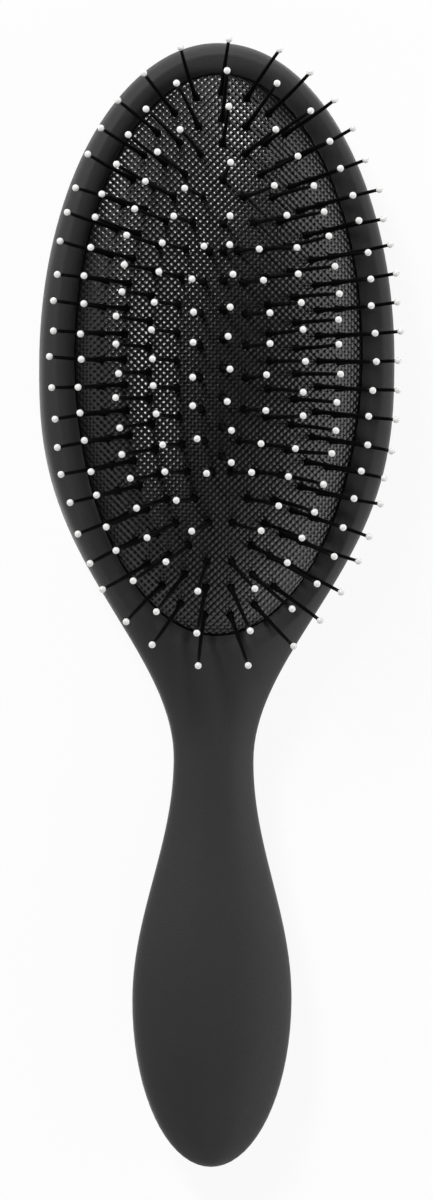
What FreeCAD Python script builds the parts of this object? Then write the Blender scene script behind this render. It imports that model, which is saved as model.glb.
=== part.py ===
"""Detangling brush: an oval paddle with a domed rubber cushion and ball-tipped pins.

The brush lies on its back. The origin is on the flat of the back, under the middle of the cushion.
+Z comes out of the cushion, +Y points to the top of the head and the grip runs along -Y.
Lengths are in millimetres and angles in degrees. A name that ends in share or shares holds
fractions of the sizes that it is used with.
"""
import FreeCAD, Part
import math
import os
from FreeCAD import Placement, Rotation, Vector

os.makedirs("parts", exist_ok=True)

# Plan of the moulded body, measured from the middle of the cushion
head_reach = 63.3  # up to the top of the head
head_half_width = 36.1
widest_reach = 1.4  # down to the widest place of the head
neck_reach = 82.1  # down to the narrowest place
neck_half_width = 8.1
grip_reach = 130.8  # down to the widest place of the grip
grip_half_width = 16.2
end_reach = 164.7  # down to the end of the grip
shoulder_power = 1.35  # over 1 keeps the head broad before it runs into the neck

# Side view of the moulded body, as heights over the rest plane
head_front = 15.8
neck_front = 13.2
grip_front = 16.6
nose_height = 7.2  # where front and back meet at the top of the head
end_height = 8.2  # where they meet at the end of the grip
head_sole = 0.7  # depth of the rounded back that is cut flat under the head
neck_back = 1.7
grip_sole = 0.5  # and under the grip
nose_front_length = 9.0  # length of the rounding at the top of the head, in front
nose_back_length = 22.0  # and behind
end_length = 30.0  # length of the rounding at the end of the grip
level_reach = 30.0  # the head stays level down to here
tip_flat = 0.03  # tiny flats close the body at its two ends

# Places of the poles beside each corner of the body's sections
head_front_inset = 2.6
head_back_inset = 10.0
head_side_share = 0.45
grip_corner_share = 0.42
grip_side_share = 0.38
sides_per_pole = 2

# Recess in the head, with the seat of the cushion
side_rim = 7.0
top_rim = 6.5
seam_drop = 3.3  # from the front of the head down to the seam
seat_clearance = 0.2
lip_width = 3.2
lip_rise = 2.4
lip_turns = [0, 30, 60]  # places of the corners round the lip
ledge_width = 2.6
back_wall = 3.6

# Cushion: a thin rubber dome with a skirt and a bead that holds it in the recess
cushion_crown = 11.0  # rise of the dome over the seam
membrane = 1.5
skirt_depth = 3.4
bead_height = 1.5
bead_width = 1.1
dome_power = 2.4  # how full the dome is
edge_power = 0.92  # under 1 draws its sides in
dome_reach_shares = [1.0, 0.96, 0.84, 0.64, 0.38, 0.15]
oval_sides = 32

# Pins, each with a flared foot under the rubber, and a ball on the tip
pin_reach = 18.0  # from the rubber to the middle of the ball
pin_foot_width = 2.3
pin_foot_height = 0.8
pin_root_width = 1.3
pin_collar_width = 1.1
collar_height = 1.9
pin_tip_width = 0.66
foot_clearance = 0.3
hole_clearance = 0.12
ball_diameter = 1.6
pin_sides = 4
ball_sides = 5
ball_latitudes = [-15, 45]

# Pin field: ovals one inside the other round a straight middle row, outermost first
oval_width_shares = [0.828, 0.681, 0.517, 0.326, 0.163]
oval_length_shares = [0.935, 0.837, 0.750, 0.621, 0.461]
oval_side_leans = [38.6, 33.7, 24.7, 18.7, 10.1]
oval_end_leans = [35.8, 32.2, 20.9, 9.4, 5.8]
oval_counts = [47, 43, 37, 27, 17]
middle_row_share = 0.364
middle_row_lean = 5.0
middle_row_count = 8
columns_each_side = 5

# Steps of the lofted body, and the overrun of its cuts
round_steps = 7
shoulder_steps = 6
grip_steps = 3
overrun = 1.0

# Sizes that follow from those above
cushion_half_width = head_half_width - side_rim
cushion_half_length = head_reach - top_rim
seam_height = head_front - seam_drop
column_pitch = cushion_half_width / (columns_each_side + 1)


# Shared forms

def flat(*corners):
    """A flat face on its corners."""
    return Part.Face(Part.makePolygon([*corners, corners[0]]))


def ringed_solid(rings, warped=False):
    """A closed solid of flat faces from rings of points, with a flat cap on the first and last.

    Where the sides are warped, each is two triangles.
    """
    faces = [flat(*rings[0]), flat(*rings[-1])]
    for low, high in zip(rings, rings[1:]):
        for number in range(len(low)):
            a, b, c, d = low[number - 1], low[number], high[number], high[number - 1]
            faces += [flat(a, b, c), flat(a, c, d)] if warped else [flat(a, b, c, d)]
    return Part.Solid(Part.Shell(faces))


def ring(half_wide, half_long, height, sides):
    """Corners of an oval round the Z axis."""
    turns = [2 * math.pi * (number + 1 / 2) / sides for number in range(sides)]
    return [Vector(half_wide * math.cos(turn), half_long * math.sin(turn), height) for turn in turns]


def round_ring(width, height, sides):
    """Corners of a regular ring of that width across its flats."""
    radius = width / 2 / math.cos(math.pi / sides)
    return ring(radius, radius, height, sides)


def copies(solid, places):
    """The same solid at each of the places, as a group."""
    group = [solid.copy() for _ in places]
    for copy, place in zip(group, places):
        copy.Placement = place
    return Part.makeCompound(group)


# Moulded body

def ease(start, end, share):
    """A smooth step between two values."""
    return start + (end - start) * (1 - math.cos(math.pi * share)) / 2


def quarter(length, left):
    """Height share of a quarter round that is so long, at the distance left to its low end."""
    return math.sqrt(1 - (1 - min(left, length) / length) ** 2)


def half_width(y):
    """Half the body's width at a station."""
    if y > -widest_reach:
        return head_half_width * quarter(head_reach + widest_reach, head_reach - y)
    if y > -neck_reach:
        share = (-y - widest_reach) / (neck_reach - widest_reach)
        return ease(head_half_width, neck_half_width, share ** shoulder_power)
    if y > -grip_reach:
        return ease(neck_half_width, grip_half_width, (-y - neck_reach) / (grip_reach - neck_reach))
    return grip_half_width * quarter(end_reach - grip_reach, y + end_reach)


def head_share(y):
    """How far a station takes after the head: 1 where the head is level, down to 0 at the neck."""
    return ease(1, 0, min(1, max(0, (-y - level_reach) / (neck_reach - level_reach))))


def side_line(y, nose_length, head, neck, grip):
    """Height of the front or back line at a station, from its heights at three places."""
    if y > -level_reach:
        return nose_height + (head - nose_height) * quarter(nose_length, head_reach - y)
    if y > -neck_reach:
        return neck + (head - neck) * head_share(y)
    if y > -grip_reach:
        return ease(neck, grip, (-y - neck_reach) / (grip_reach - neck_reach))
    return end_height + (grip - end_height) * quarter(end_length, y + end_reach)


def body_section(y):
    """Outline of the body square to Y: a smooth curve from three poles a side, taken in flats."""
    width = half_width(y)
    front = side_line(y, nose_front_length, head_front, neck_front, grip_front)
    back = side_line(y, nose_back_length, -head_sole, neck_back, -grip_sole)
    share = head_share(y)
    plain = width * grip_corner_share
    front_corner = plain + max(0, width - head_front_inset - plain) * share
    back_corner = plain + max(0, width - head_back_inset - plain) * share
    side_share = grip_side_share + (head_side_share - grip_side_share) * share
    middle = (front + back) / 2
    rise = (front - back) / 2 * side_share
    right = [
        (back_corner, back),
        (width, middle - rise),
        (width, middle),
        (width, middle + rise),
        (front_corner, front),
    ]
    left = [(-x, z) for x, z in reversed(right)]
    poles = [Vector(x, y, z) for x, z in [(0, back), *right, (0, front), *left]]
    outline = Part.BSplineCurve()
    outline.buildFromPoles(poles, True)
    start, span = outline.FirstParameter, outline.LastParameter - outline.FirstParameter
    sides = sides_per_pole * len(poles)
    points = [outline.value(start + span * number / sides) for number in range(sides)]
    return Part.makePolygon([*points, points[0]])


def stations():
    """Places of the body's sections, closer together where it rounds off."""
    turns = [math.pi / 2 * step / round_steps for step in range(1, round_steps)]
    head = [head_reach - (head_reach + widest_reach) * (1 - math.cos(turn)) for turn in turns]
    shoulder = [
        -widest_reach - (neck_reach - widest_reach) * step / shoulder_steps
        for step in range(shoulder_steps)
    ]
    grip = [-neck_reach - (grip_reach - neck_reach) * step / grip_steps for step in range(grip_steps)]
    end = [-grip_reach - (end_reach - grip_reach) * math.sin(turn) for turn in [0, *turns]]
    return [head_reach - tip_flat, *head, *shoulder, *grip, *end, -end_reach + tip_flat]


def recess():
    """The space in the head: air chamber, groove for the bead, throat and rounded lip."""
    ledge = seam_height - skirt_depth - seat_clearance
    groove_top = seam_height - skirt_depth + bead_height + seat_clearance
    turns = [math.radians(turn) for turn in lip_turns]
    lip = [
        (seat_clearance + lip_width * (1 - math.cos(turn)), seam_height + lip_rise * math.sin(turn))
        for turn in turns
    ]
    profile = [
        (-ledge_width, back_wall),
        (-ledge_width, ledge),
        (bead_width + seat_clearance, ledge),
        (bead_width + seat_clearance, groove_top),
        (seat_clearance, groove_top),
        *lip,
        (seat_clearance + lip_width, seam_height + lip_rise + overrun),
    ]
    return ringed_solid([
        ring(cushion_half_width + grow, cushion_half_length + grow, height, oval_sides)
        for grow, height in profile
    ], warped=True)


def handle_body():
    """Head, neck and grip in one moulding, cut flat on the rest plane and open for the cushion."""
    body = Part.makeLoft([body_section(y) for y in stations()], True)
    width = 2 * (head_half_width + overrun)
    length = head_reach + end_reach + 2 * overrun
    corner = Vector(-width / 2, -end_reach - overrun, -nose_height)
    body = body.cut(Part.makeBox(width, length, nose_height, corner))
    return body.cut(recess())


# Cushion

def dome_rings(shrink):
    """Rings of the dome from the seam to the crown, for its outer or its inner face."""
    wide, long = cushion_half_width - shrink, cushion_half_length - shrink
    rings = []
    for share in dome_reach_shares:
        height = (cushion_crown - shrink) * (1 - share ** dome_power) ** edge_power
        rings.append(ring(wide * share, long * share, seam_height + height, oval_sides))
    return rings


def dome_height(x, y):
    """Height of the dome's outer face over the rest plane."""
    share = math.hypot(x / cushion_half_width, y / cushion_half_length)
    return seam_height + cushion_crown * (1 - share ** dome_power) ** edge_power


def cushion():
    """The rubber piece, with a hole for each pin."""
    low = seam_height - skirt_depth
    skirt = [
        (bead_width, low + bead_height),
        (bead_width, low),
        (-membrane, low),
    ]
    outer = [*reversed(dome_rings(0))]
    neck = ring(cushion_half_width, cushion_half_length, low + bead_height, oval_sides)
    bead = [
        ring(cushion_half_width + grow, cushion_half_length + grow, height, oval_sides)
        for grow, height in skirt
    ]
    rubber = ringed_solid([*outer, neck, *bead, *dome_rings(membrane)])
    width = pin_root_width + 2 * hole_clearance
    hole = ringed_solid([
        round_ring(width, -2 * membrane, pin_sides),
        round_ring(width, collar_height, pin_sides),
    ])
    return rubber.cut(copies(hole, pin_places()))


# Pins

def pin_places():
    """Where each pin comes out of the rubber, as a placement that leans square to its oval."""
    places = []
    for wide, long, side, end, count in zip(
        oval_width_shares, oval_length_shares, oval_side_leans, oval_end_leans, oval_counts
    ):
        half_wide, half_long = cushion_half_width * wide, cushion_half_length * long
        oval = Part.Ellipse(Vector(0, half_long, 0), Vector(half_wide, 0, 0), Vector(0, 0, 0))
        for point in oval.toShape().discretize(Number=count + 1)[:-1]:
            outward = Vector(point.x / half_wide ** 2, point.y / half_long ** 2, 0).normalize()
            across = outward.x * math.sin(math.radians(side))
            along = outward.y * math.sin(math.radians(end))
            places.append(pin_place(point.x, point.y, across, along))
    for number in range(middle_row_count):
        share = 1 - 2 * number / (middle_row_count - 1)
        y = cushion_half_length * middle_row_share * share
        places.append(pin_place(0, y, 0, math.sin(math.radians(middle_row_lean)) * share))
    return places


def pin_place(x, y, across, along):
    """A placement on the dome whose Z axis leans by those shares across and along the brush."""
    up = Vector(across, along, math.sqrt(1 - across ** 2 - along ** 2))
    return Placement(Vector(x, y, dome_height(x, y)), Rotation(Vector(0, 0, 1), up))


def pin_columns():
    """The pins' placements in lengthwise columns, from left to right."""
    columns = [[] for _ in range(2 * columns_each_side + 1)]
    for place in pin_places():
        columns[columns_each_side + round(place.Base.x / column_pitch)].append(place)
    return columns


def pin():
    """One pin: foot, root through the rubber, collar and tapered shaft."""
    under = -membrane - foot_clearance
    ball_seat = pin_reach - ball_seat_drop()
    return ringed_solid([
        round_ring(pin_foot_width, under - pin_foot_height, pin_sides),
        round_ring(pin_root_width, under, pin_sides),
        round_ring(pin_collar_width, collar_height, pin_sides),
        round_ring(pin_tip_width, ball_seat, pin_sides),
    ])


def ball_seat_drop():
    """From the middle of the ball down to where the shaft meets it."""
    return math.sqrt(ball_diameter ** 2 - pin_tip_width ** 2) / 2


def ball():
    """The ball on a pin's tip, flat where it meets the shaft."""
    rings = [round_ring(pin_tip_width, pin_reach - ball_seat_drop(), ball_sides)]
    for latitude in ball_latitudes:
        angle = math.radians(latitude)
        height = pin_reach + ball_diameter / 2 * math.sin(angle)
        rings.append(round_ring(ball_diameter * math.cos(angle), height, ball_sides))
    return ringed_solid(rings)


def write(name, shape):
    shape.exportStep(f"parts/{name}.step")


write("handle_body", handle_body())
write("cushion", cushion())
for number, column in enumerate(pin_columns(), 1):
    write(f"pins_column_{number:02d}", copies(pin(), column))
    write(f"ball_tips_column_{number:02d}", copies(ball(), column))
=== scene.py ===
"""Detangling brush: the looks of each piece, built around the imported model.

Lengths are in millimetres, as in the CAD source, and MM turns them into metres. The scales of the
materials, the floor, the lamps and the camera are in metres. Constants hold angles in degrees.
"""
import math
import random
from collections import Counter, namedtuple

import bmesh
import bpy
import numpy as np
from mathutils import Matrix, Vector
from mathutils.geometry import delaunay_2d_cdt


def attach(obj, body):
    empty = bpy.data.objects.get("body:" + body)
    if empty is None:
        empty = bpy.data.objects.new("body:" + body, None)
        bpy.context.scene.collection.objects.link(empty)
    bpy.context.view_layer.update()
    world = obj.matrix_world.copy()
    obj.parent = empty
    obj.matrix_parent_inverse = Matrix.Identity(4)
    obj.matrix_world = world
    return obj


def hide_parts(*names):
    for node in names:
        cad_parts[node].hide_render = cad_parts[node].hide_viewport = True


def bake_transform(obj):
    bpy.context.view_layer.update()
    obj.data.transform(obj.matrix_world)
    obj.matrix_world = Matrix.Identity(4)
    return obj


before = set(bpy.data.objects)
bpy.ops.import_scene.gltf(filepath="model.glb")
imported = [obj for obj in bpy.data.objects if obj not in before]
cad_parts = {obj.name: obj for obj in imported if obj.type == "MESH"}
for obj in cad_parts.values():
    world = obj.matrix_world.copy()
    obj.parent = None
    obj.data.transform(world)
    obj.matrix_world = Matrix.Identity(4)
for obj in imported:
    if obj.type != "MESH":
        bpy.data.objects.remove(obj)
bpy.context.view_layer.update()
MM = 0.001

# Body outline and heights, the same as in the CAD source
HEAD_REACH, HEAD_HALF_WIDTH, WIDEST_REACH = 63.3, 36.1, 1.4
NECK_REACH, NECK_HALF_WIDTH = 82.1, 8.1
GRIP_REACH, GRIP_HALF_WIDTH, END_REACH = 130.8, 16.2, 164.7
SHOULDER_POWER = 1.35
HEAD_FRONT, NECK_FRONT, GRIP_FRONT = 15.8, 13.2, 16.6
HEAD_BACK, NECK_BACK, GRIP_BACK = -0.7, 1.7, -0.5
NOSE_HEIGHT, END_HEIGHT = 7.2, 8.2
NOSE_FRONT_LENGTH, NOSE_BACK_LENGTH, END_LENGTH = 9.0, 22.0, 30.0
LEVEL_REACH = 30.0
HEAD_FRONT_INSET, HEAD_BACK_INSET, HEAD_SIDE_SHARE = 2.6, 10.0, 0.45
GRIP_CORNER_SHARE, GRIP_SIDE_SHARE = 0.42, 0.38
SOLE_SOFTNESS = 0.25  # how softly the back turns into its flat

# Mesh steps of the body
NOSE_STEPS, OPENING_STEPS, SHOULDER_STEPS, END_STEPS = 12, 72, 39, 18  # along it
SPAN_STEPS = 16  # in one span of a section's curve
FRONT_SPANS = 3  # from the middle of the front to the side
FRONT_POINTS, BACK_POINTS = 17, 15  # on the strips of half a section
END_MARGIN = 0.001  # sections are taken that much inside the ends
POINT_GAP = 0.01  # points nearer than this to the opening are left out
BODY_WELD, CAD_WELD = 0.002, 0.004  # points nearer than this are joined

# Recess and cushion
PAD_HALF_WIDTH, PAD_HALF_LENGTH = 29.1, 56.8
SEAM_HEIGHT = 12.5
SEAT_CLEARANCE = 0.2
LIP_WIDTH, LIP_ROUND_WIDTH, LIP_TURN = 3.9, 2.3, 52  # a rounding, then a slope to the seam
LIP_STEPS = 8
LIP_GROW = LIP_WIDTH + SEAT_CLEARANCE
GROOVE_GROW, GROOVE_TOP, LEDGE_HEIGHT = 1.3, 10.8, 8.9
LEDGE_WIDTH, BACK_WALL = 2.6, 3.6
FLAT_SHARE = 1.06  # of the cushion's plan: the recess is shaded flat out to there
FLAT_DEPTH = 6.0  # under the ledge, and down to there
CROWN, DOME_POWER, EDGE_POWER = 11.0, 2.4, 0.92
MEMBRANE, SKIRT_BOTTOM, SKIRT_INSIDE = 1.5, 9.1, 9.3
BEAD_WIDTH, BEAD_TOP = 1.1, 10.6
SLOPE_STEP = 0.01  # for the slope of the dome

# Relief on the rubber
RELIEF_PITCH = 1.04  # between the dots, along the two diagonals of the weave
RELIEF_STEPS = 4  # mesh steps in one pitch
RELIEF_HEIGHT = 0.12
RELIEF_FADE = 0.4  # round a hole, over which the relief fades in
OUTLINE_FADE_SHARE = 0.02  # the same along the outline
WEAVE_DEPTH = 0.17  # of the finer relief in the rubber's material, on the same lattice
LATTICE_SHARE = 0.992  # how far the lattice reaches towards the plan's outline, squared

# Holes in the rubber
HOLE_RADIUS, HOLE_DEPTH = 0.74, 0.7  # the rubber thins to that depth round a hole
HOLE_KEEP_SHARE = 0.86  # of that radius: lattice points nearer to a pin are left out
HOLE_RIM_REACH = 1.6  # rim points nearer than this to a pin belong to its hole
PIN_REACH = 4.0  # how far round a pin its lattice points are looked for
RIM_ROUNDS = 4  # tries to put a rim point on the edge of its hole
OUTLINE_RIM_SHARE, HEM_SHARE = 0.9, 0.985  # rim points farther out belong to the outline

# Inner face of the cushion
NET_STEP = 2.4
CDT_INSIDE, CDT_EPSILON = 1, 0.0001  # triangles inside the outermost rim only

# Pins: pairs of a reach and the radius there, from the foot, the root and the top of the collar
CAD_PIN_SIDES = 4
FOOT_PROFILE = [(0.0, 1.1), (0.15, 1.15)]
FOOT_TOP_SHARE, FOOT_TOP_RADIUS = 0.7, 0.95  # a share of the way to the root
ROOT_PROFILE = [(0.0, 0.66), (0.4, 0.64)]
COLLAR_PROFILE = [(-0.9, 0.64), (-0.2, 0.6), (0.0, 0.54), (0.25, 0.48), (1.2, 0.45)]
SHAFT_RADIUS, SHAFT_TAPER, SHAFT_STEPS = 0.45, 0.11, 9
PIN_SIDES = 12
STRAY = 0.6  # how far the tip of a bent pin may stray

# Balls
BALL_RADIUS, BALL_NECK_RADIUS = 0.7, 0.33
BALL_SIDES, BALL_STEPS = 20, 12
POLE_SHARE = 0.97  # a ball ends in a small flat just short of its pole

# Band over the seam
FOLD_HEIGHT = 1.0  # over the seam: the inner face's net keeps no points below there


# Body

def ease(start, end, share):
    """A smooth step between two values."""
    return start + (end - start) * (1 - math.cos(math.pi * share)) / 2


def quarter(length, left):
    """Height share of a quarter round, where left is the distance from its low end."""
    return math.sqrt(max(0.0, 1 - (1 - min(left, length) / length) ** 2))


def half_width(y):
    """Half the body's width at a station."""
    if y > -WIDEST_REACH:
        return HEAD_HALF_WIDTH * quarter(HEAD_REACH + WIDEST_REACH, HEAD_REACH - y)
    if y > -NECK_REACH:
        share = (-y - WIDEST_REACH) / (NECK_REACH - WIDEST_REACH)
        return ease(HEAD_HALF_WIDTH, NECK_HALF_WIDTH, share ** SHOULDER_POWER)
    if y > -GRIP_REACH:
        share = (-y - NECK_REACH) / (GRIP_REACH - NECK_REACH)
        return ease(NECK_HALF_WIDTH, GRIP_HALF_WIDTH, share)
    return GRIP_HALF_WIDTH * quarter(END_REACH - GRIP_REACH, y + END_REACH)


def head_share(y):
    """How much a station belongs to the head: 1 on it, falling to 0 at the neck."""
    return ease(1, 0, min(1, max(0, (-y - LEVEL_REACH) / (NECK_REACH - LEVEL_REACH))))


def side_line(y, nose_length, head, neck, grip):
    """Height of the front or back line at a station."""
    if y > -LEVEL_REACH:
        return NOSE_HEIGHT + (head - NOSE_HEIGHT) * quarter(nose_length, HEAD_REACH - y)
    if y > -NECK_REACH:
        return neck + (head - neck) * head_share(y)
    if y > -GRIP_REACH:
        return ease(neck, grip, (-y - NECK_REACH) / (GRIP_REACH - NECK_REACH))
    return END_HEIGHT + (grip - END_HEIGHT) * quarter(END_LENGTH, y + END_REACH)


def section_poles(y):
    """Poles of the right half of a section, from the middle of the front to that of the back.

    One pole more at each end mirrors the next one, so that the curve runs level over the middle.
    """
    width = half_width(y)
    front = side_line(y, NOSE_FRONT_LENGTH, HEAD_FRONT, NECK_FRONT, GRIP_FRONT)
    back = side_line(y, NOSE_BACK_LENGTH, HEAD_BACK, NECK_BACK, GRIP_BACK)
    share = head_share(y)
    plain = width * GRIP_CORNER_SHARE
    front_corner = plain + max(0, width - HEAD_FRONT_INSET - plain) * share
    back_corner = plain + max(0, width - HEAD_BACK_INSET - plain) * share
    side_share = GRIP_SIDE_SHARE + (HEAD_SIDE_SHARE - GRIP_SIDE_SHARE) * share
    middle = (front + back) / 2
    rise = (front - back) / 2 * side_share
    return np.array([
        (-front_corner, front), (0, front), (front_corner, front),
        (width, middle + rise), (width, middle), (width, middle - rise),
        (back_corner, back), (0, back), (-back_corner, back),
    ])


def section(y):
    """Points of the right half of a section, on a cubic B-spline, with the back softly flat."""
    poles = section_poles(y)
    t = np.linspace(0, 1, SPAN_STEPS + 1)[:, None]
    spans = []
    for a, b, c, d in zip(poles, poles[1:], poles[2:], poles[3:]):
        spans.append((
            (1 - t) ** 3 * a + (3 * t ** 3 - 6 * t ** 2 + 4) * b
            + (-3 * t ** 3 + 3 * t ** 2 + 3 * t + 1) * c + t ** 3 * d
        )[:-1] / 6)
    last = (b + 4 * c + d) / 6
    line = np.vstack([*spans, last])
    z = line[:, 1]
    line[:, 1] = (z + np.sqrt(z ** 2 + SOLE_SOFTNESS ** 2)) / 2
    return line


def resample(line, count):
    """The line's points moved to equal steps along it."""
    reach = np.concatenate([[0], np.cumsum(np.hypot(*np.diff(line, axis=0).T))])
    wanted = np.linspace(0, reach[-1], count)
    return np.column_stack([np.interp(wanted, reach, line[:, k]) for k in range(2)])


def new_object(name, vertices, faces):
    """A smooth object from points in metres."""
    mesh = bpy.data.meshes.new(name)
    mesh.from_pydata([tuple(v) for v in vertices], [], faces)
    mesh.validate()
    mesh.polygons.foreach_set("use_smooth", [True] * len(mesh.polygons))
    obj = bpy.data.objects.new(name, mesh)
    bpy.context.scene.collection.objects.link(obj)
    return obj


def outward(obj):
    """Faces turned outward and doubled points joined."""
    bm = bmesh.new()
    bm.from_mesh(obj.data)
    bmesh.ops.remove_doubles(bm, verts=bm.verts, dist=BODY_WELD * MM)
    bmesh.ops.recalc_face_normals(bm, faces=bm.faces)
    bm.to_mesh(obj.data)
    bm.free()


def ring_faces(base, rings, count):
    """Quads between rings of as many points each, where base is the number of the first point."""
    faces = []
    for r in range(rings - 1):
        for k in range(count):
            a, b = base + r * count + k, base + r * count + (k + 1) % count
            faces.append((a, b, b + count, a + count))
    return faces


def pad_share(x, y):
    """How far a point lies from the middle of the cushion's plan towards its outline."""
    return np.hypot(x / PAD_HALF_WIDTH, y / PAD_HALF_LENGTH)


def pad_ring(grow, turns, heights):
    """Points on the cushion's outline, grown or shrunk, at the given heights."""
    wide, long = PAD_HALF_WIDTH + grow, PAD_HALF_LENGTH + grow
    return [(wide * math.cos(a), long * math.sin(a), z) for a, z in zip(turns, heights)]


def half_strip(y, start):
    """Points of half a section in x and z, from the edge of the opening to the back's middle."""
    line = section(min(max(y, -END_REACH + END_MARGIN), HEAD_REACH - END_MARGIN))
    side = SPAN_STEPS * FRONT_SPANS
    front = line[:side + 1]
    if start > 0:
        z = float(np.interp(start, front[:, 0], front[:, 1]))
        front = np.vstack([[start, z], front[front[:, 0] > start + POINT_GAP]])
    strip = np.vstack([resample(front, FRONT_POINTS), resample(line[side:], BACK_POINTS)[1:]])
    strip[0, 0], strip[-1, 0] = start, 0
    return strip


def lip_levels():
    """Growth and height of the rings down the lip, as shares of the edge's height over the seam."""
    turn = math.radians(LIP_TURN)
    radius = LIP_ROUND_WIDTH / math.sin(turn)
    depth = radius * (1 - math.cos(turn)) + (LIP_WIDTH - LIP_ROUND_WIDTH) * math.tan(turn)
    levels = []
    for step in range(1, LIP_STEPS):
        a = turn * step / (LIP_STEPS - 1)
        levels.append((LIP_GROW - radius * math.sin(a), 1 - radius * (1 - math.cos(a)) / depth))
    return [*levels, (SEAT_CLEARANCE, 0.0)]


def outside_rows(turns):
    """The right half of the outside, in rows of points that start from the edge of the opening."""
    wide, long = PAD_HALF_WIDTH + LIP_GROW, PAD_HALF_LENGTH + LIP_GROW
    nose = [HEAD_REACH - (HEAD_REACH - long) * (i / NOSE_STEPS) ** 2 for i in range(NOSE_STEPS)]
    shoulder = np.linspace(-long, -GRIP_REACH, SHOULDER_STEPS + 1)[1:]
    end = []
    for i in range(1, END_STEPS + 1):
        share = math.sin(math.pi / 2 * i / END_STEPS)
        end.append(-GRIP_REACH - (END_REACH - GRIP_REACH) * share)
    places = [
        *((y, 0.0) for y in nose),
        *((long * math.sin(a), wide * abs(math.cos(a))) for a in turns),
        *((y, 0.0) for y in [*shoulder, *end]),
    ]
    rows = []
    for y, start in places:
        strip = half_strip(y, start)
        rows.append(np.column_stack([strip[:, 0], np.full(len(strip), y), strip[:, 1]]))
    rows = np.array(rows)
    for row, height in [(0, NOSE_HEIGHT), (-1, END_HEIGHT)]:  # the ends close in a point
        rows[row, :, 0], rows[row, :, 2] = 0, height
    return rows


def recess_rings(turns, edge):
    """Rings of points down the lip and the recess, from the edge of the opening."""
    closed = turns + [math.pi - a for a in reversed(turns[1:-1])]
    heights = [*edge, *edge[-2:0:-1]]
    rings = [pad_ring(LIP_GROW, closed, heights)]
    for grow, share in lip_levels():
        lower = [SEAM_HEIGHT + (z - SEAM_HEIGHT) * share for z in heights]
        rings.append(pad_ring(grow, closed, lower))
    for grow, level in [
        (SEAT_CLEARANCE, GROOVE_TOP), (GROOVE_GROW, GROOVE_TOP), (GROOVE_GROW, LEDGE_HEIGHT),
        (-LEDGE_WIDTH, LEDGE_HEIGHT), (-LEDGE_WIDTH, BACK_WALL),
    ]:
        rings.append(pad_ring(grow, closed, [level] * len(closed)))
    return rings


def body_mesh():
    """The moulding as one closed mesh, with its outside in strips and the recess in rings."""
    turns = [math.radians(a) for a in np.linspace(90, -90, OPENING_STEPS + 1)]
    rows = outside_rows(turns)
    stations, width = rows.shape[:2]
    right = rows.reshape(-1, 3)
    left = right * [-1, 1, 1]
    faces = []
    for j in range(stations - 1):
        for k in range(width - 1):
            a, b = j * width + k, j * width + k + 1
            c, d = b + width, a + width
            faces.append((a, b, c, d))
            faces.append(tuple(v + len(right) for v in (a, d, c, b)))
    rings = recess_rings(turns, rows[NOSE_STEPS:NOSE_STEPS + len(turns), 0, 2])
    base, count = 2 * len(right), len(rings[0])
    faces += ring_faces(base, len(rings), count)
    faces.append(tuple(base + (len(rings) - 1) * count + k for k in range(count)))
    vertices = np.vstack([right, left, np.array(rings).reshape(-1, 3)])
    obj = new_object("body_moulding", vertices * MM, faces)
    outward(obj)
    for face in obj.data.polygons:
        x, y, z = face.center / MM
        in_recess = LEDGE_HEIGHT - FLAT_DEPTH < z < GROOVE_TOP + SEAT_CLEARANCE
        if pad_share(x, y) < FLAT_SHARE and in_recess:
            face.use_smooth = False
    return obj


# Pins and balls

Pin = namedtuple("Pin", "foot root collar tip stray")


def islands(node):
    """The loose parts of a node's mesh, each as an array of its points in millimetres."""
    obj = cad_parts[node]
    bm = bmesh.new()
    bm.from_mesh(obj.data)
    bmesh.ops.remove_doubles(bm, verts=bm.verts, dist=CAD_WELD * MM)
    seen, parts = set(), []
    for vertex in bm.verts:
        if vertex in seen:
            continue
        stack, part = [vertex], []
        seen.add(vertex)
        while stack:
            v = stack.pop()
            part.append(obj.matrix_world @ v.co)
            for edge in v.link_edges:
                other = edge.other_vert(v)
                if other not in seen:
                    seen.add(other)
                    stack.append(other)
        parts.append(np.array(part) / MM)
    bm.free()
    return parts


def pin_rings(points):
    """Middles of the rings at a CAD pin's foot, root, collar top and tip."""
    centre = points.mean(axis=0)
    axis = np.linalg.svd(points - centre)[2][0]
    if axis[2] < 0:
        axis = -axis
    order = np.argsort((points - centre) @ axis)
    rings = [order[k * CAD_PIN_SIDES:(k + 1) * CAD_PIN_SIDES] for k in range(4)]
    return [points[ring].mean(axis=0) for ring in rings]


def square_to(direction):
    """Two unit directions square to one another and to the direction."""
    side = np.cross(direction, [0.0, 1.0, 0.0])
    side /= np.linalg.norm(side)
    return side, np.cross(direction, side)


def pin_axis(pin):
    """Unit direction from a pin's foot to its tip."""
    return (pin.tip - pin.foot) / np.linalg.norm(pin.tip - pin.foot)


def bent(rings, chance):
    """A pin with a small sideways stray of its tip."""
    straight = Pin(*rings, stray=0.0)
    turn, reach = chance.uniform(0, 2 * math.pi), STRAY * math.sqrt(chance.random())
    side, other = square_to(pin_axis(straight))
    return straight._replace(stray=(side * math.cos(turn) + other * math.sin(turn)) * reach)


def lathe(profile, start, direction, sides, vertices, faces, bend=lambda reach: 0.0):
    """Adds a closed turned form along an axis, from (reach, radius) pairs."""
    side, other = square_to(direction)
    base = len(vertices)
    for reach, radius in profile:
        middle = start + direction * reach + bend(reach)
        for k in range(sides):
            a = 2 * math.pi * k / sides
            vertices.append(middle + (side * math.cos(a) + other * math.sin(a)) * radius)
    faces.extend(ring_faces(base, len(profile), sides))
    faces.append(tuple(base + k for k in reversed(range(sides))))
    top = base + (len(profile) - 1) * sides
    faces.append(tuple(top + k for k in range(sides)))


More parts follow.
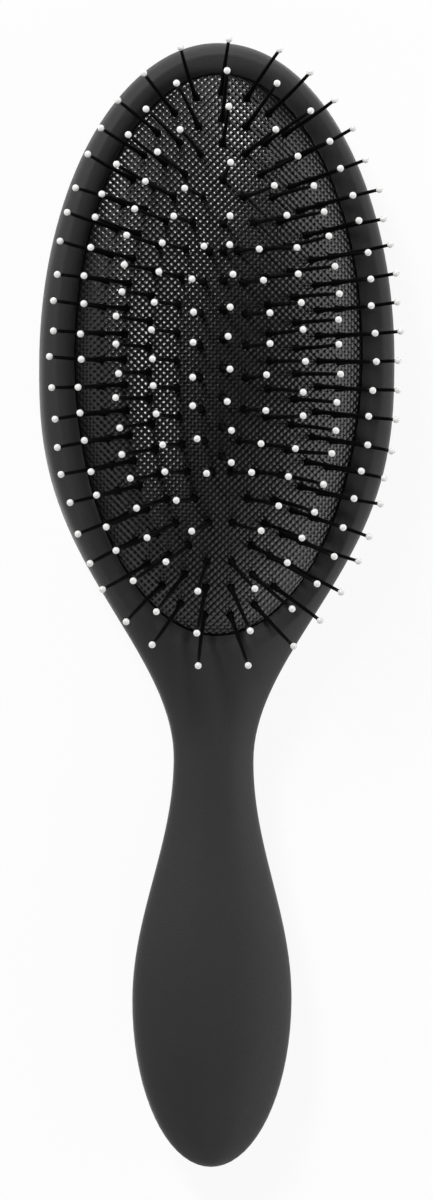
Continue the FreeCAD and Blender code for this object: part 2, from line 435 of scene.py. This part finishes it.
def pins_mesh(name, pins):
    """Feet, collars and tapered shafts of some pins, each shaft bent to its own stray."""
    vertices, faces = [], []
    for pin in pins:
        axis = pin_axis(pin)
        length = np.linalg.norm(pin.tip - pin.foot)
        low, top = (float((ring - pin.foot) @ axis) for ring in (pin.root, pin.collar))
        profile = [
            *FOOT_PROFILE,
            (low * FOOT_TOP_SHARE, FOOT_TOP_RADIUS),
            *((low + reach, radius) for reach, radius in ROOT_PROFILE),
            *((top + reach, radius) for reach, radius in COLLAR_PROFILE),
        ]
        for k in range(1, SHAFT_STEPS + 1):
            reach = top + (length - top) * k / SHAFT_STEPS
            profile.append((reach, SHAFT_RADIUS - SHAFT_TAPER * k / SHAFT_STEPS))
        lathe(
            profile, pin.foot, axis, PIN_SIDES, vertices, faces,
            bend=lambda reach: pin.stray * max(0.0, (reach - top) / (length - top)) ** 2,
        )
    return new_object(name, np.array(vertices) * MM, faces)


def balls_mesh(name, pins):
    """The balls of some pins, each on the end of its shaft and leaning as it does."""
    drop = math.sqrt(BALL_RADIUS ** 2 - BALL_NECK_RADIUS ** 2)
    low, high = math.asin(-drop / BALL_RADIUS), math.pi / 2 * POLE_SHARE
    profile = []
    for k in range(BALL_STEPS + 1):
        a = low + (high - low) * k / BALL_STEPS
        profile.append((drop + BALL_RADIUS * math.sin(a), BALL_RADIUS * math.cos(a)))
    vertices, faces = [], []
    for pin in pins:
        axis = pin_axis(pin) + 2 * pin.stray / np.linalg.norm(pin.tip - pin.collar)
        axis /= np.linalg.norm(axis)
        lathe(profile, pin.tip + pin.stray, axis, BALL_SIDES, vertices, faces)
    return new_object(name, np.array(vertices) * MM, faces)


# Cushion

def dome_z(x, y):
    """Height of the dome's outer surface over points of its plan."""
    share = np.minimum(1.0, pad_share(x, y))
    return SEAM_HEIGHT + CROWN * np.maximum(0.0, 1 - share ** DOME_POWER) ** EDGE_POWER


def dome_normals(points):
    """Unit directions square to the dome over points of its plan."""
    x, y = points.T
    slope_x = (dome_z(x + SLOPE_STEP, y) - dome_z(x - SLOPE_STEP, y)) / (2 * SLOPE_STEP)
    slope_y = (dome_z(x, y + SLOPE_STEP) - dome_z(x, y - SLOPE_STEP)) / (2 * SLOPE_STEP)
    normals = np.column_stack([-slope_x, -slope_y, np.ones(len(x))])
    return normals / np.linalg.norm(normals, axis=1)[:, None]


def face_sides(face):
    """The pairs of points that a face's sides join."""
    return [frozenset(pair) for pair in zip(face, face[1:] + face[:1])]


def relief_lattice():
    """Plan points on the diagonals of the weave, and their numbers by lattice place."""
    step = RELIEF_PITCH / RELIEF_STEPS
    reach = int(PAD_HALF_LENGTH / step) + 2
    numbers, points = {}, []
    for j in range(-reach, reach + 1):
        for i in range(-reach, reach + 1):
            x, y = (i - j) * step / math.sqrt(2), (i + j) * step / math.sqrt(2)
            if (x / PAD_HALF_WIDTH) ** 2 + (y / PAD_HALF_LENGTH) ** 2 <= LATTICE_SHARE:
                numbers[i, j] = len(points)
                points.append([x, y])
    return numbers, np.array(points)


def nearest_pins(points, pins):
    """The distance of each plan point, on the dome, from the nearest pin's axis, and which pin."""
    spots = np.column_stack([points, dome_z(*points.T)])
    near = np.full(len(points), np.inf)
    owner = np.full(len(points), -1)
    for number, pin in enumerate(pins):
        axis = pin_axis(pin)
        x, y = (points - pin.collar[:2]).T
        close = np.where(np.hypot(x, y) < PIN_REACH)[0]
        away = spots[close] - pin.root
        reach = np.linalg.norm(away - np.outer(away @ axis, axis), axis=1)
        better = reach < near[close]
        near[close[better]] = reach[better]
        owner[close[better]] = number
    return near, owner


def lattice_faces(numbers, keep):
    """Quads between the kept points of the lattice, and triangles along its edges."""
    faces = []
    for (i, j), a in numbers.items():
        b, c, d = (numbers.get(place) for place in ((i + 1, j), (i + 1, j + 1), (i, j + 1)))
        corners = [v for v in (a, b, c, d) if v is not None and keep[v]]
        if len(corners) >= 3:
            faces.append(tuple(corners))
        e = numbers.get((i - 1, j + 1))
        if (i - 1, j) not in numbers and d is not None and e is not None:
            corners = [v for v in (a, d, e) if keep[v]]
            if len(corners) == 3:
                faces.append(tuple(corners))
    return faces


def smooth_rims(points, faces, near, owner, pins):
    """Moves the points along open sides to the cushion's outline or to the edge of their hole."""
    uses = Counter(side for face in faces for side in face_sides(face))
    for v in {v for side, times in uses.items() if times == 1 for v in side}:
        share = pad_share(*points[v])
        if near[v] < HOLE_RIM_REACH:
            pin = pins[owner[v]]
            axis = pin_axis(pin)
            for _ in range(RIM_ROUNDS):
                spot = np.array([*points[v], float(dome_z(*points[v]))])
                away = spot - pin.root
                across = away - (away @ axis) * axis
                reach = np.linalg.norm(across)
                points[v] = (spot + across / reach * (HOLE_RADIUS - reach))[:2]
        elif share > OUTLINE_RIM_SHARE:
            points[v] /= share


def relief_lift(numbers, points, near):
    """How the relief lowers the rubber between its dots, less so near the holes and the outline."""
    turns = 2 * math.pi * np.array(list(numbers)) / RELIEF_STEPS
    wave = (np.cos(turns[:, 0]) + np.cos(turns[:, 1])) / 2
    fade = np.clip((1 - pad_share(*points.T)) / OUTLINE_FADE_SHARE, 0, 1)
    fade = fade * np.clip((near - HOLE_RADIUS) / RELIEF_FADE, 0, 1)
    return RELIEF_HEIGHT * (wave - 1) / 2 * fade


def made_of(result, kind):
    """The new parts of one kind that a bmesh operator returns."""
    return [part for part in result["geom"] if isinstance(part, kind)]


def wall_holes(bm, rims, pins):
    """Walls of the holes, along each pin down into the rubber."""
    roots = np.array([pin.root for pin in pins])
    axes = np.array([pin_axis(pin) for pin in pins])
    for v in made_of(bmesh.ops.extrude_edge_only(bm, edges=rims), bmesh.types.BMVert):
        reach = np.linalg.norm(np.cross(np.array(v.co) / MM - roots, axes), axis=1)
        v.co -= Vector(axes[int(np.argmin(reach))] * HOLE_DEPTH * MM)


def add_skirt(bm, hem):
    """Skirt and bead below the seam, and back up to where the inner face starts."""
    for grow, height in [
        (0.0, BEAD_TOP), (BEAD_WIDTH, BEAD_TOP), (BEAD_WIDTH, SKIRT_BOTTOM),
        (-MEMBRANE, SKIRT_BOTTOM), (-MEMBRANE, SKIRT_INSIDE),
    ]:
        made = bmesh.ops.extrude_edge_only(bm, edges=hem)
        hem = made_of(made, bmesh.types.BMEdge)
        for v in made_of(made, bmesh.types.BMVert):
            turn = math.atan2(v.co.y / PAD_HALF_LENGTH, v.co.x / PAD_HALF_WIDTH)
            v.co = Vector(pad_ring(grow, [turn], [height])[0]) * MM


def inner_net(plan):
    """Points of the coarse net under the dome, in plan and height, clear of the rims and of the
    band just over the seam.
    """
    wide, long = PAD_HALF_WIDTH - MEMBRANE, PAD_HALF_LENGTH - MEMBRANE
    net = np.array([
        (x, y)
        for x in np.arange(-wide, wide, NET_STEP)
        for y in np.arange(-long, long, NET_STEP)
        if math.hypot(x / wide, y / long) < 1
    ])
    away = np.array([np.linalg.norm(plan - spot, axis=1).min() for spot in net])
    heights = dome_z(*net.T) - MEMBRANE / dome_normals(net)[:, 2]
    clear = (away > NET_STEP / 2) & (heights > SEAM_HEIGHT + FOLD_HEIGHT)
    return net[clear], heights[clear]


def reached(faces, fences, first):
    """The faces that reach a point numbered first or higher without crossing a fence."""
    beside = {}
    for face in faces:
        for side in face_sides(face):
            if side not in fences:
                beside.setdefault(side, []).append(face)
    kept = {face for face in faces if max(face) >= first}
    stack = list(kept)
    while stack:
        for side in face_sides(stack.pop()):
            for other in beside.get(side, []):
                if other not in kept:
                    kept.add(other)
                    stack.append(other)
    return kept


def line_cushion(bm):
    """Closes the rubber with its inner face, from the skirt to the feet of the holes."""
    bm.verts.index_update()
    rims = [edge for edge in bm.edges if edge.is_boundary]
    ends = sorted({v for edge in rims for v in edge.verts}, key=lambda v: v.index)
    numbers = {v: k for k, v in enumerate(ends)}
    sides = [tuple(numbers[v] for v in edge.verts) for edge in rims]
    plan = np.array([v.co[:2] for v in ends]) / MM
    net, heights = inner_net(plan)
    spots = [Vector(spot) for spot in np.vstack([plan, net])]
    made = delaunay_2d_cdt(spots, sides, [], CDT_INSIDE, CDT_EPSILON, True)
    triangles, origins = made[2:4]
    faces = [tuple(origins[k][0] for k in triangle) for triangle in triangles]
    points = ends + [bm.verts.new((x * MM, y * MM, z * MM)) for (x, y), z in zip(net, heights)]
    # the holes stay open, because their rims fence them off from the net
    for face in sorted(reached(faces, {frozenset(side) for side in sides}, len(ends))):
        bm.faces.new([points[k] for k in face])


def cushion_mesh(pins):
    """The rubber with its woven relief, a hole round each pin, skirt, bead and inner face."""
    numbers, points = relief_lattice()
    near, owner = nearest_pins(points, pins)
    faces = lattice_faces(numbers, near > HOLE_RADIUS * HOLE_KEEP_SHARE)
    smooth_rims(points, faces, near, owner, pins)
    lift = relief_lift(numbers, points, near)
    outer = np.column_stack([points, dome_z(*points.T)]) + dome_normals(points) * lift[:, None]
    obj = new_object("cushion_rubber", outer * MM, faces)
    bm = bmesh.new()
    bm.from_mesh(obj.data)
    bmesh.ops.delete(bm, geom=[v for v in bm.verts if not v.link_faces], context="VERTS")
    hem, holes = [], []
    for edge in [edge for edge in bm.edges if edge.is_boundary]:
        outermost = all(pad_share(v.co.x / MM, v.co.y / MM) > HEM_SHARE for v in edge.verts)
        (hem if outermost else holes).append(edge)
    wall_holes(bm, holes, pins)
    add_skirt(bm, hem)
    line_cushion(bm)
    bmesh.ops.recalc_face_normals(bm, faces=bm.faces)
    bm.to_mesh(obj.data)
    bm.free()
    obj.data.polygons.foreach_set("use_smooth", [True] * len(obj.data.polygons))
    return obj


# Materials

TONE_SCALE = 60.0  # of the slow changes in tone


def material(name, colour, roughness, **sockets):
    """A material and its shader, with values for any other sockets of the shader."""
    mat = bpy.data.materials.new(name)
    mat.use_nodes = True
    shader = mat.node_tree.nodes["Principled BSDF"]
    shader.inputs["Base Color"].default_value = (*colour, 1)
    shader.inputs["Roughness"].default_value = roughness
    for socket, value in sockets.items():
        shader.inputs[socket.replace("_", " ")].default_value = value
    return mat, shader


def add(mat, kind, **values):
    """A new node, with values for its sockets or properties."""
    node = mat.node_tree.nodes.new(kind)
    for key, value in values.items():
        if key in node.inputs:
            node.inputs[key].default_value = value
        else:
            setattr(node, key, value)
    return node


def link(mat, source, target):
    mat.node_tree.links.new(source, target)


def grained(mat, shader, scale, height, tones, roughness, under=None):
    """Fine grain as bump and in the roughness, with slow changes in tone."""
    place = add(mat, "ShaderNodeTexCoord")
    fine = add(mat, "ShaderNodeTexNoise", Scale=scale, Detail=3.0)
    slow = add(mat, "ShaderNodeTexNoise", Scale=TONE_SCALE, Detail=4.0)
    link(mat, place.outputs["Object"], fine.inputs["Vector"])
    link(mat, place.outputs["Object"], slow.inputs["Vector"])
    bump = add(mat, "ShaderNodeBump", Distance=height, Strength=1.0)
    link(mat, fine.outputs["Fac"], bump.inputs["Height"])
    link(mat, bump.outputs["Normal"], shader.inputs["Normal"])
    if under:
        link(mat, under, bump.inputs["Normal"])
    tone = add(mat, "ShaderNodeMix", data_type="RGBA")
    sockets = {socket.identifier: socket for socket in [*tone.inputs, *tone.outputs]}
    sockets["A_Color"].default_value = (*tones[0], 1)
    sockets["B_Color"].default_value = (*tones[1], 1)
    link(mat, slow.outputs["Fac"], sockets["Factor_Float"])
    link(mat, sockets["Result_Color"], shader.inputs["Base Color"])
    rough = add(mat, "ShaderNodeMapRange")
    rough.inputs["To Min"].default_value, rough.inputs["To Max"].default_value = roughness
    link(mat, fine.outputs["Fac"], rough.inputs["Value"])
    link(mat, rough.outputs["Result"], shader.inputs["Roughness"])


def maths(mat, operation, *values):
    """The output of a math node on sockets or plain numbers."""
    node = add(mat, "ShaderNodeMath", operation=operation)
    for socket, value in zip(node.inputs, values):
        if isinstance(value, (int, float)):
            socket.default_value = value
        else:
            link(mat, value, socket)
    return node.outputs["Value"]


def woven(mat):
    """Rounded dots on the diagonals of the weave, with a sharp groove between them, as a normal."""
    place = add(mat, "ShaderNodeTexCoord")
    parts = add(mat, "ShaderNodeSeparateXYZ")
    link(mat, place.outputs["Object"], parts.inputs["Vector"])
    x, y = parts.outputs["X"], parts.outputs["Y"]
    scale = 1 / (math.sqrt(2) * RELIEF_PITCH * MM)
    hollows = []
    for operation in ("ADD", "SUBTRACT"):
        along = maths(mat, "MULTIPLY", maths(mat, operation, x, y), scale)
        hollows.append(maths(mat, "POWER", maths(mat, "PINGPONG", along, 0.5), 2.0))
    height = maths(mat, "MULTIPLY", maths(mat, "ADD", *hollows), -2.0)
    bump = add(mat, "ShaderNodeBump", Distance=WEAVE_DEPTH * MM, Strength=1.0)
    link(mat, height, bump.inputs["Height"])
    return bump.outputs["Normal"]


soft_touch, soft_shader = material(
    "soft_touch_charcoal", (0.03, 0.03, 0.03), 0.65, Specular_IOR_Level=0.25,
    Sheen_Weight=0.3, Sheen_Roughness=0.35)
grained(soft_touch, soft_shader, scale=3000.0, height=0.00009,
        tones=((0.028, 0.028, 0.028), (0.033, 0.033, 0.033)), roughness=(0.6, 0.7))

rubber, rubber_shader = material(
    "cushion_black_rubber", (0.005, 0.005, 0.005), 0.3, Specular_IOR_Level=0.6)
grained(rubber, rubber_shader, scale=6000.0, height=0.00002, under=woven(rubber),
        tones=((0.003, 0.003, 0.003), (0.006, 0.006, 0.006)), roughness=(0.2, 0.28))

nylon, nylon_shader = material(
    "pin_black_nylon", (0.002, 0.002, 0.002), 0.42, Specular_IOR_Level=0.1)
grained(nylon, nylon_shader, scale=3000.0, height=0.00001,
        tones=((0.001, 0.001, 0.001), (0.003, 0.003, 0.003)), roughness=(0.4, 0.5))

pearl, pearl_shader = material("ball_white", (0.86, 0.86, 0.85), 0.16, Specular_IOR_Level=0.6)
grained(pearl, pearl_shader, scale=2500.0, height=0.000004,
        tones=((0.83, 0.83, 0.82), (0.89, 0.89, 0.88)), roughness=(0.12, 0.18))


# Pieces

def dress(obj, mat, node):
    """Gives a piece its material and hides the CAD node that it stands for."""
    obj.data.materials.clear()
    obj.data.materials.append(mat)
    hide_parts(node)
    return obj


PIN_NODES = "pins_column_"
columns = {}
for node in sorted(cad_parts):
    if node.startswith(PIN_NODES):
        chance = random.Random(node)
        pins = [bent(pin_rings(points), chance) for points in islands(node)]
        columns[node[len(PIN_NODES):]] = pins

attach(dress(body_mesh(), soft_touch, "handle_body"), "handle")

all_pins = [pin for pins in columns.values() for pin in pins]
pad = dress(cushion_mesh(all_pins), rubber, "cushion")
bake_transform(pad)

# The roots stay in their holes and the shafts bend. Each column's shafts are made as two meshes,
# for the pins rooted above and below the middle.
for column, pins in columns.items():
    halves = {
        "upper": [pin for pin in pins if pin.root[1] > 0],
        "lower": [pin for pin in pins if pin.root[1] <= 0],
    }
    for half, group in halves.items():
        shafts = pins_mesh(f"pins_{column}_{half}", group)
        dress(shafts, nylon, f"pins_column_{column}")
        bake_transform(shafts)
    balls = balls_mesh(f"balls_{column}", pins)
    dress(balls, pearl, f"ball_tips_column_{column}")
    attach(balls, f"column_{column}")

# Floor
FLOOR_REACH, FLOOR_DROP = 30.0, 0.0002
GLOW_SHARE = 0.92  # how much of what is seen of the floor is its own white
floor_mesh = bpy.data.meshes.new("floor")
corners = [(x * FLOOR_REACH, y * FLOOR_REACH, 0) for x, y in [(-1, -1), (1, -1), (1, 1), (-1, 1)]]
floor_mesh.from_pydata(corners, [], [(0, 1, 2, 3)])
floor = bpy.data.objects.new("floor", floor_mesh)
floor.location.z = -FLOOR_DROP
bpy.context.scene.collection.objects.link(floor)
white, white_shader = material("floor_white", (0.92, 0.92, 0.92), 0.9)
path = add(white, "ShaderNodeLightPath")
shine = add(white, "ShaderNodeEmission", Strength=1.0)
shine.inputs["Color"].default_value = (1, 1, 1, 1)
mix = add(white, "ShaderNodeMixShader")
seen = maths(white, "MAXIMUM", path.outputs["Is Camera Ray"], path.outputs["Is Glossy Ray"])
link(white, maths(white, "MULTIPLY", seen, GLOW_SHARE), mix.inputs["Fac"])
link(white, white_shader.outputs["BSDF"], mix.inputs[1])
link(white, shine.outputs["Emission"], mix.inputs[2])
link(white, mix.outputs["Shader"], white.node_tree.nodes["Material Output"].inputs["Surface"])
floor_mesh.materials.append(white)

# Light from around: bright at the horizon, dim overhead, and plain white where the camera sees it
HORIZON_LIGHT, ZENITH_LIGHT = 1.7, 0.05
HORIZON_BAND = 0.55  # from this height of a direction up, it is as dim as overhead
RIGHT_SHARE = 0.7  # how much lighter the right of the horizon is
world = bpy.data.worlds.new("studio")
bpy.context.scene.world = world
world.use_nodes = True
sky = world.node_tree.nodes["Background"]
sky.inputs["Color"].default_value = (1, 1, 1, 1)
way = add(world, "ShaderNodeTexCoord")
parts = add(world, "ShaderNodeSeparateXYZ")
link(world, way.outputs["Generated"], parts.inputs["Vector"])
fall = add(world, "ShaderNodeMapRange")
limits = {"From Max": HORIZON_BAND, "To Min": HORIZON_LIGHT, "To Max": ZENITH_LIGHT}
for socket, value in limits.items():
    fall.inputs[socket].default_value = value
link(world, parts.outputs["Z"], fall.inputs["Value"])
side = maths(world, "MULTIPLY_ADD", parts.outputs["X"], RIGHT_SHARE, 1.0)
glow = maths(world, "MULTIPLY", fall.outputs["Result"], side)
eye = add(world, "ShaderNodeLightPath")
strength = maths(world, "MAXIMUM", glow, eye.outputs["Is Camera Ray"])
link(world, strength, sky.inputs["Strength"])

# Lamps
LAMP_AIM = Vector((0, 0, 0.01))


def lamp(name, place, size, power, size_y=None):
    """A square lamp, or an oblong one when size_y is given, turned towards the brush."""
    data = bpy.data.lights.new(name, "AREA")
    data.energy = power
    data.size = size
    if size_y:
        data.shape = "RECTANGLE"
        data.size_y = size_y
    obj = bpy.data.objects.new(name, data)
    bpy.context.scene.collection.objects.link(obj)
    obj.location = place
    obj.rotation_euler = (LAMP_AIM - Vector(place)).to_track_quat("-Z", "Y").to_euler()


lamp("key", (-0.48, 0.7, 0.74), 0.26, 11.0)
lamp("right_wall", (1.0, -0.15, 0.34), 1.0, 2.2, size_y=0.6)
lamp("grip_fill", (0.05, -0.75, 0.6), 0.7, 1.2)

# Camera, long and almost straight above
DISTANCE, VIEW_HEIGHT = 3.0, 0.2434  # the height of what the picture shows
TILT, ROLL = 4.5, 0.45
SENSOR_HEIGHT = 36
VIEW_MIDDLE = Vector((0.0003, -0.0497, 0.008))
tilt = math.radians(TILT)
camera_data = bpy.data.cameras.new("camera")
camera_data.sensor_fit = "VERTICAL"
camera_data.sensor_height = SENSOR_HEIGHT
camera_data.lens = SENSOR_HEIGHT * DISTANCE / VIEW_HEIGHT
camera_data.clip_end = 100
camera = bpy.data.objects.new("camera", camera_data)
bpy.context.scene.collection.objects.link(camera)
camera.location = VIEW_MIDDLE + Vector((-math.sin(tilt), 0, math.cos(tilt))) * DISTANCE
turn = Matrix.Rotation(-tilt, 4, "Y") @ Matrix.Rotation(math.radians(ROLL), 4, "Z")
camera.rotation_euler = turn.to_euler()
bpy.context.scene.camera = camera
bpy.context.scene.view_settings.view_transform = "Standard"
